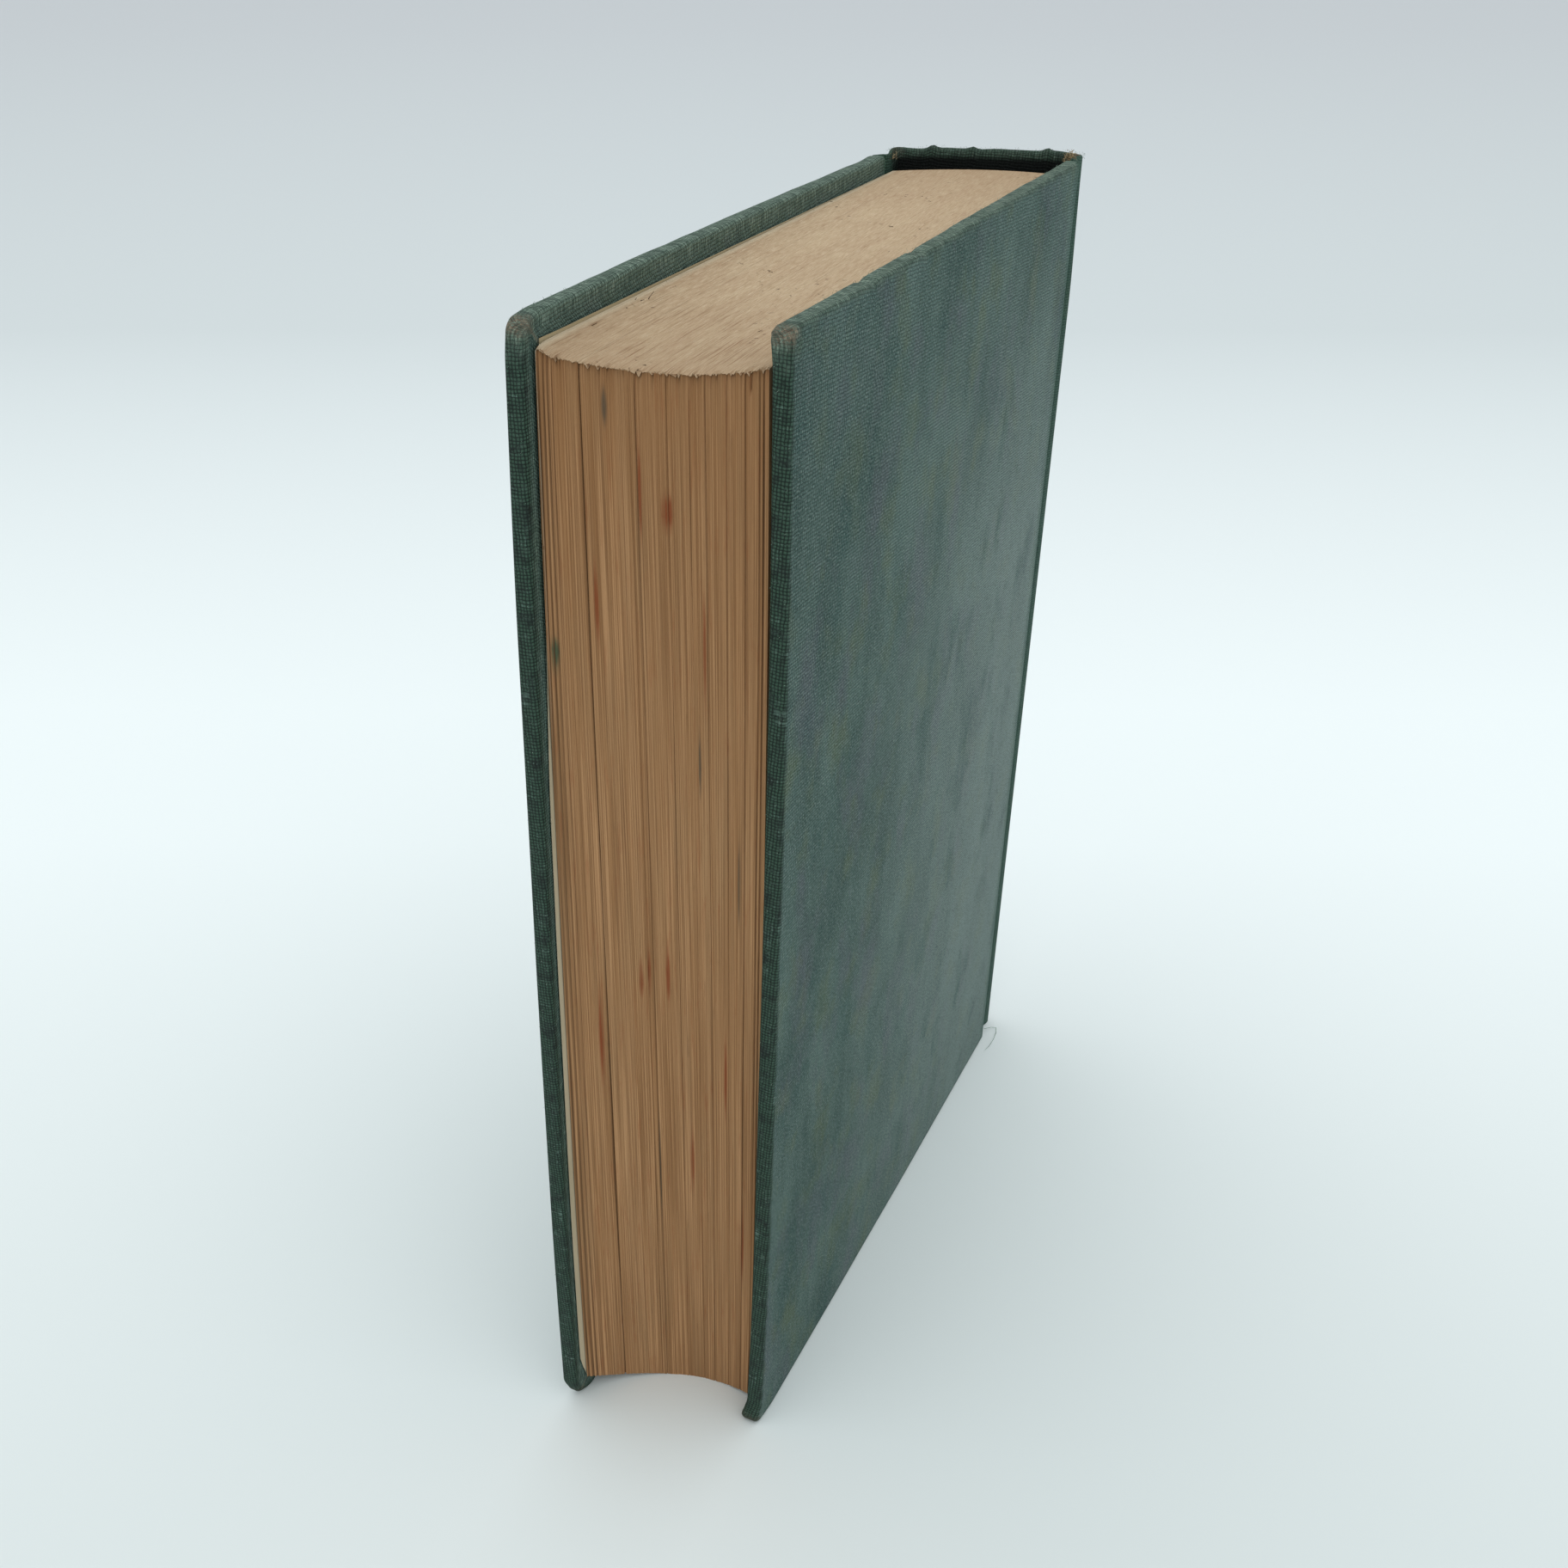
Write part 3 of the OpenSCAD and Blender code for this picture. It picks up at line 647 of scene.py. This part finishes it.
def book_cloth():
    """Starched plain weave: the eye sees a matt, faded green, with threads a little apart in tone, rubbed and
    dusty at the edges. The head edges and turn-ins get painted light, and the weave gets painted shade and
    highlights. The patterns are scaled in waves to the mm of the sheet."""
    material, tree = new_material("faded_book_cloth")
    weave = add(tree, "Attribute", {}, attribute_name="weave")["Vector"]
    kinds = ("wear", "rim", "dust_and_light", "deep", "joint", "seam")
    wear, rim, dust_and_light, deep, joint, seam = (add(tree, "Attribute", {}, attribute_name=n)["Fac"]
                                          for n in kinds)
    uneven = add(tree, "TexNoise", {"Vector": weave, "Scale": 0.7, "Detail": 3.0})["Color"]
    skewed = add(tree, "Mapping", {0: weave, 2: (0, 0, math.radians(-4))})[0]
    shaken = add(tree, "VectorMath", {0: uneven, 1: (0.5, 0.5, 0), 2: skewed}, operation="MULTIPLY_ADD")[0]
    across = add(tree, "SeparateXYZ", {0: shaken})
    waves = []
    for axis in (0, 1):
        turned = add(tree, "Math", {0: across[axis], 1: math.pi / THREAD}, operation="MULTIPLY")[0]
        waves.append(add(tree, "Math", {0: turned}, operation="SINE")[0])
    crossing = add(tree, "Math", {0: waves[0], 1: waves[1]}, operation="MULTIPLY")[0]
    height = add(tree, "Math", {0: crossing}, operation="ABSOLUTE")[0]
    knots = add(tree, "Math", {0: height, 1: 0.5}, operation="POWER")[0]
    warp, weft = grain(tree, weave, (1.6, 0.12, 0), 2.0), grain(tree, weave, (0.12, 1.6, 0), 2.0)
    threads = add(tree, "Math", {0: warp, 1: weft}, operation="ADD")[0]
    fleck = grain(tree, weave, (2.2, 2.4, 0), 3.0, 0.7)

    # Faces: slate green that has faded unevenly, with bluer, greyer and yellower patches
    cloud = grain(tree, weave, (0.06, 0.03, 0), 4.0, 0.55)
    face = tint(tree, linear("#415e57"), "#617c74", cloud, 0.36, 0.64)
    streak = grain(tree, weave, (0.35, 0.02, 0), 4.0, 0.6)
    face = tint(tree, face, "#6b7d7b", streak, 0.5, 0.78, 0.22)
    face = tint(tree, face, "#32483f", streak, 0.48, 0.28, 0.25)
    sheet = add(tree, "SeparateXYZ", {0: weave})
    sheen_towards_spine = overlap(tree, (sheet[1], 215.0, 150.0), (sheet[1], -150.0, 60.0), (sheet[0], 105.0, 25.0))
    face = tint(tree, face, "#646973", grain(tree, weave, (0.09, 0.04, 3), 3.0), 0.51, 0.67, 0.6)
    face = tint(tree, face, "#68764f", grain(tree, weave, (0.1, 0.07, 9), 3.0), 0.52, 0.68, 0.5)
    # Painted sheen: the face is paler towards the spine at mid-height
    face = tint(tree, face, "#a2b3af", sheen_towards_spine, 0, 1, 0.55)
    head_corner = overlap(tree, (sheet[0], 85.0, 125.0), (sheet[1], 160.0, 200.0))
    face = tint(tree, face, "#38524d", head_corner, 0, 1, 0.35)
    face = tint(tree, face, "#2f5854", grain(tree, weave, (0.08, 0.04, 6), 3.0), 0.52, 0.68, 0.45)
    coarse = grain(tree, weave, (0.5, 0.32, 0), 5.0, 0.7)
    face = tint(tree, face, "#82958f", coarse, 0.5, 0.7, 0.25)
    face = tint(tree, face, "#2b3f39", coarse, 0.5, 0.3, 0.25)
    # Pale flecks stand in for glints on the grain, a painted highlight; dark flecks for shade in its pits, a
    # painted shade
    face = tint(tree, face, "#9aada5", fleck, 0.51, 0.66, 0.55)
    face = tint(tree, face, "#1d2d29", fleck, 0.49, 0.34, 0.5)
    # Painted shade between the weft threads
    ribs = add(tree, "Math", {0: waves[1]}, operation="ABSOLUTE")[0]
    face = tint(tree, face, "#1f2f2b", ribs, 0.6, 0.05, 0.5)
    # Edges and turn-ins: unfaded dark green with pale flecks of starch between the threads
    # Darker in the pits between the crossings of the threads: painted shade
    side = tint(tree, linear("#1d2a22"), "#3e584a", knots, 0.2, 0.95)
    side = tint(tree, side, "#2a2f30", grain(tree, weave, (0.2, 0.2, 5), 3.0), 0.5, 0.7, 0.6)
    side = tint(tree, side, "#566b60", grain(tree, weave, (0.5, 0.5, 2), 5.0, 0.75), 0.54, 0.7, 0.5)
    side = tint(tree, side, "#141c18", grain(tree, weave, (0.4, 0.4, 8), 5.0, 0.75), 0.52, 0.68, 0.6)
    side = tint(tree, side, "#7d9a8e", threads, 1.14, 1.36, 0.6)
    # Dust, fibres and painted light: the head edges and the turn-ins are paler
    fuzz = grain(tree, weave, (2.4, 0.4, 0), 4.0, 0.7)
    dust_and_light_tone = tint(tree, linear("#465a4d"), "#7c9284", fuzz, 0.38, 0.58)
    dust_and_light_tone = tint(tree, dust_and_light_tone, "#b3c6b3", fuzz, 0.55, 0.68, 0.8)
    dust_and_light_tone = tint(tree, dust_and_light_tone, "#2c423a", grain(tree, weave, (0.35, 0.12, 0), 3.0), 0.5, 0.72, 0.6)
    side = add(tree, "Mix", {0: dust_and_light, 6: side, 7: dust_and_light_tone}, data_type="RGBA")[2]
    tone = add(tree, "Mix", {0: rim, 6: face, 7: side}, data_type="RGBA")[2]
    tone = tint(tree, tone, "#2d5a49", joint, 0, 1, 0.4)
    # Painted shade in the pits of the weave, on faces and edges alike
    tone = tint(tree, tone, "#1b2826", knots, 0.65, 0.1, 0.5)
    tone = tint(tree, tone, "#8d8b78", seam, 0.3, 0.9, 0.55)
    bare = tint(tree, linear("#54463a"), "#978b77", threads, 0.8, 1.2)
    worn = overlap(tree, (wear, 0, 1), (fleck, 0.35, 0.55))
    tone = add(tree, "Mix", {0: worn, 6: tone, 7: bare}, data_type="RGBA")[2]
    # Inside the hollow spine the cloth is painted near black, a painted shade
    tone = tint(tree, tone, "#040807", deep, 0, 1, 0.97)
    lift = add(tree, "Math", {0: fleck, 1: 1.5, 2: knots}, operation="MULTIPLY_ADD")[0]
    return surfaced(material, tree, tone, 0.75, 0.2, (lift, 0.9, 0.00025))


cloth = book_cloth()
for cover in (front, back):
    piece = finished(cover.name + "_cloth", cover_cloth_mesh(cover), cloth,
                     None, (cover.name + "_cover_cloth",))
    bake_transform(piece)

# Spine and joints
# The same sheet of cloth goes on round the hollow back, over a strip of card, and is turned in
# at the head and the tail. It is pressed into a groove along each board.
BULGE = 5 * MM
SPINE_POWER = 3
CARD_T = 0.8 * MM
CARD_MARGIN = 2 * MM
SPINE_TURN_IN = 14 * MM
SPINE_CUTS = 72
JOINT_CUTS = 12
UP_CUTS = 120
FOLD_CUTS = 6
# Bumps along the head of the spine: place across the book and height, in mm
SPINE_BUMPS = ((-11.6, 0.6), (-3.9, 0.5), (10.7, 0.5))


def spine_line():
    """Plan of the cloth from the front joint round the spine to the back joint, in metres."""
    shoulder = {c.name: np.array((c.spine_x - JOINT_W, c.face_y + c.inward * SHOULDER))
                for c in (front, back)}
    chord = shoulder["back"] - shoulder["front"]
    outwards = np.array((-chord[1], chord[0])) / np.hypot(*chord)
    share = (1 - np.cos(np.pi * np.arange(SPINE_CUTS + 1) / SPINE_CUTS)) / 2
    rise = BULGE * (1 - np.abs(2 * share - 1) ** SPINE_POWER) ** (1 / SPINE_POWER)
    spine = shoulder["front"] + np.outer(share, chord) + np.outer(rise, outwards)
    joints = {}
    for c in (front, back):
        reach = np.linspace(HINGE_W, JOINT_W, JOINT_CUTS, endpoint=False)
        joints[c.name] = np.array([(c.spine_x - r, c.face_y + c.inward * joint_depth(-r)) for r in reach])
    return np.concatenate([joints["front"], spine, joints["back"][::-1]])


def spine_cloth_mesh():
    line = spine_line()
    along = np.gradient(line, axis=0)
    inwards = np.stack([along[:, 1], -along[:, 0]], 1) / np.hypot(along[:, 0], along[:, 1])[:, None]
    run = np.concatenate([[0], np.cumsum(np.hypot(*np.diff(line, axis=0).T))])
    into = np.minimum(run - run[JOINT_CUTS], run[-1 - JOINT_CUTS] - run)
    fold_r = CLOTH_T + CARD_T / 2 * smooth(CARD_MARGIN, 2 * CARD_MARGIN, into)
    # Rows of the sheet: up the inside, over the tail, up the outside, over the head, down again
    inside = [("end", math.pi, s) for s in (1, 0.6, 0.35, 0.22, 0.16, 0.11, 0.07, 0.03)]
    over = [("end", math.pi * (1 - i / FOLD_CUTS), 0) for i in range(FOLD_CUTS)]
    outside = [("side", 0, s) for s in crowd(np.linspace(0, 1, UP_CUTS + 1), 0.6)]
    courses = [(*course, 0) for course in inside + over + outside]
    courses += [(*course, 1) for course in reversed(inside + over)]
    height = back.height

    bm = bmesh.new()
    bmesh.ops.create_grid(bm, x_segments=len(line) - 1, y_segments=len(courses) - 1, size=0.5)
    weave = bm.verts.layers.float_vector.new("weave")
    kinds = ("wear", "rim", "dust_and_light", "deep", "joint")
    wear, rim_share, dust_and_light_share, deep, joint = (bm.verts.layers.float.new(n) for n in kinds)
    for v in bm.verts:
        i = round((v.co.x + 0.5) * (len(line) - 1))
        kind, angle, share, head = courses[round((v.co.y + 0.5) * (len(courses) - 1))]
        r = fold_r[i]
        if kind == "side":
            d, z = 0, r + (height - 2 * r) * share
            path = z
        else:
            d = r * (1 - math.cos(angle))
            rise = r - r * math.sin(angle) + share * (SPINE_TURN_IN - r)
            z = height - rise if head else rise
            path = height + r * angle + rise if head else -r * angle - rise
        base = line[i] + inwards[i] * d
        # The head of the spine is bumped and rubbed where fingers pull the book from a shelf
        bump = noise.noise(Vector((run[i] * 180, 0, 9))) * 0.35
        for place, high in SPINE_BUMPS:
            bump += high * math.exp(-((base[1] / MM - place) / 0.8) ** 2) if into[i] > 2 * MM else 0
        at_head = float(smooth(height - 6 * MM, height, z))
        z += (bump - 0.5 * math.exp(-((run[i] - run[JOINT_CUTS]) / MM / 2) ** 2)) * MM * at_head
        pressed = math.exp(-((run[-1 - JOINT_CUTS] - run[i]) / MM / 5) ** 2)
        pressed *= float(smooth(height - 30 * MM, height, z))
        v.co = (base[0] + 0.4 * pressed * MM, base[1] - 0.4 * pressed * MM, z)
        v[weave] = Vector((run[i], path, 0)) / MM + Vector((7, 3, 0))
        end = min(z, height - z) / MM
        rough = noise.noise(v.co * 700)
        by_joint = float(smooth(5.5, 3.5, into[i] / MM)) * float(smooth(0.2, 1.6, into[i] / MM))
        by_joint *= 1 if i > len(line) / 2 else 0.25
        v[wear] = float(smooth(2.6, 0.6, end + rough)) * by_joint
        v[joint] = float(smooth(3, 0, into[i] / MM))
        v[rim_share] = 1.0 if d > 0.3 * MM else 0.35 + 0.5 * float(smooth(2, -3, into[i] / MM))
        # Dust at the head, with painted light: the head of the spine is paler
        v[dust_and_light_share] = at_head * (0.25 if d > 0.3 * MM else 0.6)
        # Painted shade: inside the hollow, the cloth below the head is near black
        v[deep] = float(smooth(height - 1.1 * MM, height - 2.0 * MM, z)) if d > 0.3 * MM else 0
        v[deep] *= float(smooth(0.0, 4 * MM, into[i]))
    bmesh.ops.recalc_face_normals(bm, faces=bm.faces)
    rear = min(bm.faces, key=lambda f: f.calc_center_median().x)
    if rear.normal.x > 0:
        bmesh.ops.reverse_faces(bm, faces=bm.faces)
    bmesh.ops.solidify(bm, geom=bm.faces[:], thickness=CLOTH_T)
    return bm


finished("spine_cloth_case", spine_cloth_mesh(), cloth, "book_block", ("spine_cloth",))

# Endpapers
# Each is one folded sheet of plain cream paper: one half is pasted inside the board, over the
# turn-ins, and the other half is the free flyleaf. The fold bridges the joint.
PASTEDOWN_CUTS = (60, 80)
FLYLEAF_CUTS = (40, 60)
PAPER_T = 0.2 * MM
# Share of the pasted sheet's columns that cross the joint
FOLD_SHARE = 0.1
# Where the edge of the slipped flyleaf lies, and four times a flyleaf's bow to its cover, in mm
FREE_EDGE_X = 78.3 * MM
BOW_MM = 0.6


def endpaper_material():
    """Uncoated cream paper: the eye sees a matt, clouded cream, browned at the edges, with painted shade on
    the flyleaf towards its head. Its fibres are finer than the eye can see and are drawn coarser, 0.7 mm
    apart."""
    material, tree = new_material("cream_endpaper")
    place = add(tree, "TexCoord", {})["Object"]
    cloud = add(tree, "TexNoise", {"Vector": place, "Scale": 22.0, "Detail": 5.0, "Roughness": 0.6})[0]
    fibre = add(tree, "TexNoise", {"Vector": place, "Scale": 1400.0, "Detail": 2.0})[0]
    brown = add(tree, "Attribute", {}, attribute_name="brown")["Fac"]
    tone = tint(tree, linear("#b5a88b"), "#c8bb9f", cloud, 0.3, 0.7)
    tone = tint(tree, tone, "#9a875f", brown, 0, 1)
    return surfaced(material, tree, tone, 0.9, relief=(fibre, 0.3, 0.00003))


def flyleaf_corners(name):
    """Corners of a CAD flyleaf in x and z, in the order of leaf_rows, and its low and high y."""
    low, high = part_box(name)
    return leaf_rows(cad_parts[name])[1][0], low.y, high.y


def flyleaf_mesh(cover):
    corners, low_y, high_y = flyleaf_corners(cover.name + "_flyleaf")
    outer, inner = (low_y, high_y) if cover.inward > 0 else (high_y, low_y)
    bm = bmesh.new()
    bmesh.ops.create_grid(bm, x_segments=FLYLEAF_CUTS[0], y_segments=FLYLEAF_CUTS[1], size=0.5)
    brown = bm.verts.layers.float.new("brown")
    for v in bm.verts:
        a, b = v.co.x + 0.5, v.co.y + 0.5
        tail = corners[0] + (corners[1] - corners[0]) * a
        head = corners[3] + (corners[2] - corners[3]) * a
        x, z = tail + (head - tail) * b
        # The front one has slipped forwards, apart from its head, and shows beside the leaves
        if cover is front:
            ahead = FREE_EDGE_X - (corners[1][0] + (corners[2][0] - corners[1][0]) * b)
            behind = 0.8 * float(smooth(0.85, 0.95, b)) - 0.3
            x += (ahead * float(smooth(0.85, 0.62, b)) - behind * MM) * a ** 4
            x -= 2.2 * float(smooth(0.03, 0.0, b)) * a ** 8 * MM
        # Browned at the head and the tail; the upper part by the fore-edge is darker, a painted shade
        v[brown] = float(smooth(0.015, 0.0, min(b, 1 - b))) * 0.3 + 0.35 * float(smooth(0.7, 1.0, b)) * a
        lift = 0.06 * noise.noise(Vector((x * 60, z * 40, cover.seed))) - 0.22 * float(smooth(0.955, 1.0, a))
        reach = max(0, (x - cover.spine_x) / cover.width)
        lift += float(closed_bend(reach, z / cover.height)) - BOW_MM * a * (1 - a)
        v.co = (x, outer + cover.inward * (0.07 + lift) * MM, z)
    bmesh.ops.recalc_face_normals(bm, faces=bm.faces)
    if bm.faces[0].normal.y * cover.inward > 0:
        bmesh.ops.reverse_faces(bm, faces=bm.faces)
    bmesh.ops.solidify(bm, geom=bm.faces[:], thickness=abs(inner - outer) * 0.6)
    return bm


def pastedown_mesh(cover):
    corners, low_y, high_y = flyleaf_corners(cover.name + "_flyleaf")
    fold_x = corners[0][0] - cover.spine_x
    outer = low_y if cover.inward > 0 else high_y
    fold_d = abs(outer - cover.face_y) - PAPER_T / 2
    low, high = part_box(cover.name + "_pastedown")
    bm = bmesh.new()
    bmesh.ops.create_grid(bm, x_segments=PASTEDOWN_CUTS[0], y_segments=PASTEDOWN_CUTS[1], size=0.5)
    brown = bm.verts.layers.float.new("brown")
    for v in bm.verts:
        a, b = v.co.x + 0.5, v.co.y + 0.5
        z = low.z + float(crowd(b, 0.5)) * (high.z - low.z)
        if a < FOLD_SHARE:
            u = fold_x * (1 - a / FOLD_SHARE)
        else:
            u = (a - FOLD_SHARE) / (1 - FOLD_SHARE) * (high.x - low.x)
        pasted = cover.thick + 0.02 * MM
        window = float(smooth(TURN_IN - 0.8 * MM, TURN_IN + 1.2 * MM,
                              min(cover.width - u, z, cover.height - z)))
        d = pasted - 0.8 * CLOTH_T * window
        if u < 0:
            d = d + (fold_d - d) * (1 - a / FOLD_SHARE)
        v[brown] = float(smooth(12, 0, (high.x - cover.spine_x - u) / MM)) * 0.5
        v.co = cover.point(u, d, z)
    bmesh.ops.recalc_face_normals(bm, faces=bm.faces)
    if bm.faces[0].normal.y * cover.inward < 0:
        bmesh.ops.reverse_faces(bm, faces=bm.faces)
    bmesh.ops.solidify(bm, geom=bm.faces[:], thickness=-PAPER_T * 0.9)
    return bm, fold_x


endpaper = endpaper_material()
for cover in (front, back):
    finished(cover.name + "_free_endpaper", flyleaf_mesh(cover), endpaper, "book_block",
             (cover.name + "_flyleaf",))
    bm, fold_x = pastedown_mesh(cover)
    piece = finished(cover.name + "_pasted_endpaper", bm, endpaper, None,
                     (cover.name + "_pastedown",))
    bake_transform(piece)

# Frayed threads
# Handling has raised a nap of cotton fibres along the edges of the cloth, and has frayed it where
# it is folded thickest: at the corners of the covers and at the ends of the spine.
NAP_PER_MM = {"head": 4.0, "fore": 1.2}
# Lengths of the fibres of the nap, in mm, and their thickness at the root and at the tip
NAP_LONG = (0.15, 0.55)
NAP_THICK = (0.06, 0.03)
# Points of the loose thread that curls round on the floor, in mm
LOOSE_THREAD = ((-73.4, 19.4, 1.2), (-75.6, 20.6, 0.6), (-76.4, 21.8, 0.3), (-74.6, 22.4, 0.2),
                (-71.4, 22.7, 0.2), (-68.2, 22.6, 0.3), (-65.8, 22.2, 0.6))
HAIR_COUNT = 7


def strand(bm, points, thick, thin):
    """A thread through the points, in short tapered lengths."""
    for i, (a, b) in enumerate(zip(points, points[1:])):
        widths = [(thick + (thin - thick) * k / (len(points) - 1)) / 2 * MM for k in (i, i + 1)]
        turn = (b - a).to_track_quat("Z", "Y").to_matrix().to_4x4()
        bmesh.ops.create_cone(bm, cap_ends=True, segments=4, radius1=widths[0], radius2=widths[1],
                              depth=(b - a).length, matrix=Matrix.Translation((a + b) / 2) @ turn)


def tuft(bm, root, outwards, count, long, spread, thick=0.07):
    """Curved fibres that leave a point of the cloth roughly outwards."""
    for _ in range(count):
        start = root + Vector(rng.normal(0, spread * 0.35, 3)) * MM
        aim = (Vector(outwards) + Vector(rng.normal(0, 0.7, 3))).normalized()
        bend = Vector(rng.normal(0, 0.5, 3))
        reach = long * rng.uniform(0.35, 1.0) * MM
        points = [start + (aim + bend * t) * reach * t for t in (-0.15, 0.35, 0.7, 1.0)]
        strand(bm, points, thick, thick * 0.4)


def fibres(name, low, high):
    """Cotton or hair: the eye sees matt fibres, each of its own tone between low and high."""
    material, tree = new_material(name)
    place = add(tree, "TexCoord", {})["Object"]
    tone = add(tree, "TexNoise", {"Vector": place, "Scale": 1500.0, "Detail": 1.0})[0]
    return surfaced(material, tree, tint(tree, linear(low), high, tone, 0.35, 0.65), 0.9, 0.2)


green_fibres = fibres("green_cotton_fibres", "#2f4a40", "#9db3a4")
for cover in (front, back):
    bm = bmesh.new()
    runs = (("head", cover.width - 4 * MM), ("fore", cover.height - 4 * MM))
    for side_name, length in runs:
        for _ in range(int(length / MM * NAP_PER_MM[side_name])):
            along, across = rng.uniform(2 * MM, length), rng.uniform(0.1, 0.9)
            if side_name == "head":
                root, outwards = (along, cover.height - 0.1 * MM), (0, 0, 1)
            else:
                root, outwards = (cover.width - 0.1 * MM, along), (1, 0, 0)
            depth = cover.thick * across
            start = cover.point(root[0], depth, root[1])
            aim = (Vector(outwards) + Vector(rng.normal(0, 0.9, 3))).normalized()
            strand(bm, [start, start + aim * rng.uniform(*NAP_LONG) * MM], *NAP_THICK)
    corner = cover.point(cover.width - 1.0 * MM, cover.thick * 0.5, cover.height - 1.0 * MM)
    tuft(bm, corner, (0.8, 0, 0.6), 20, 0.8, 1.4)
    if cover is back:
        strand(bm, [Vector(p) * MM for p in LOOSE_THREAD], 0.15, 0.1)
    finished(cover.name + "_nap", bm, green_fibres, cover.name + "_cover")

bm = bmesh.new()
line = spine_line()
for i in range(JOINT_CUTS, len(line) - JOINT_CUTS):
    root = Vector((line[i][0] + 0.35 * MM, line[i][1], back.height - 0.1 * MM))
    tuft(bm, root, (0, 0, 1), 2, 0.4, 0.6, 0.05)
finished("spine_nap", bm, green_fibres, "book_block")

# Dark hairs that lie on the head, by the front leaves
bm = bmesh.new()
for _ in range(HAIR_COUNT):
    x, deep = rng.uniform(42, 67), rng.uniform(0.3, 2.6)
    at = np.array([np.interp(BLOCK_FRONT + deep * MM, depths, rows[:, c, k]) for c in (3, 2) for k in (0, 1)])
    z = np.interp(x * MM, at[[0, 2]], at[[1, 3]])
    start = Vector((x * MM, BLOCK_FRONT + deep * MM, z + 0.1 * MM))
    aim = Vector((rng.normal(), rng.normal(), 0.35)).normalized()
    bend = Vector((rng.normal(), rng.normal(), 0)) * 0.5
    points = [start + (aim + bend * t) * t * rng.uniform(0.8, 1.5) * MM for t in (0, 0.4, 0.7, 1.0)]
    strand(bm, points, 0.13, 0.07)
finished("dark_hairs", bm, fibres("dark_brown_hairs", "#2a2018", "#54422f"), "book_block")

# Tan threads of the frayed spine corners
bm = bmesh.new()
tuft(bm, Vector((-74.5, 16.7, 221.9)) * MM, (0.5, 0, 0.6), 120, 0.6, 1.5, 0.13)
tuft(bm, Vector((-61.0, -15.8, 221.6)) * MM, (0.3, 0, 1), 14, 0.6, 0.9, 0.09)
finished("frayed_spine_threads", bm, fibres("tan_threads", "#6f5c43", "#b9a682"), "book_block")

# Floor and light
# A pale sheet of card under soft studio light from overhead, a little from the front left. The card gives a
# matt, bluish white. Its colour is painted darker away from the camera, a painted falloff of the light, and a
# little darker close to the camera, a painted shadow.
FLOOR_HALF = 9
SOFTBOX_SIDE = 2.2
SOFTBOX_POWER = 10

floor_material, tree = new_material("pale_card")
place = add(tree, "TexCoord", {})["Object"]
away = add(tree, "VectorMath", {0: place, 1: (-0.89, -0.45, 0)}, operation="DOT_PRODUCT")["Value"]
# Painted falloff of the light: darker away from the camera
card = tint(tree, linear("#f6feff"), "#d9e1e3", away, 0.24, 0.75)
card = tint(tree, card, "#d7dce0", away, 0.75, 2.4)
# Painted shadow: a little darker close to the camera
card = tint(tree, card, "#e4ecec", away, 0.15, -0.1)
surfaced(floor_material, tree, card, 0.9)
bm = bmesh.new()
bmesh.ops.create_grid(bm, x_segments=1, y_segments=1, size=FLOOR_HALF)
floor_data = bpy.data.meshes.new("floor")
bm.to_mesh(floor_data)
bm.free()
floor_data.materials.append(floor_material)
floor = bpy.data.objects.new("floor", floor_data)
bpy.context.scene.collection.objects.link(floor)

world = bpy.data.worlds.new("studio")
bpy.context.scene.world = world
world.use_nodes = True
tree = world.node_tree
tree.nodes.clear()
rays = add(tree, "LightPath", {})
lit = add(tree, "Background", {0: linear("#f1f5f6"), 1: 0.88})[0]
seen = add(tree, "Background", {0: linear("#dde6ea"), 1: 1.0})[0]
both = add(tree, "MixShader", {0: rays["Is Camera Ray"], 1: lit, 2: seen})[0]
add(tree, "OutputWorld", {0: both})

softbox = bpy.data.lights.new("softbox", "AREA")
softbox.shape = "RECTANGLE"
softbox.size = SOFTBOX_SIDE
softbox.size_y = SOFTBOX_SIDE
softbox.energy = SOFTBOX_POWER
lamp = bpy.data.objects.new("softbox", softbox)
bpy.context.scene.collection.objects.link(lamp)
lamp_place = Vector((0.3, 0.1, 1.8))
aim = (Vector((0, 0, 0.1)) - lamp_place).to_track_quat("-Z", "Y").to_matrix().to_4x4()
lamp.matrix_world = Matrix.Translation(lamp_place) @ aim
bpy.context.scene.view_settings.view_transform = "Standard"
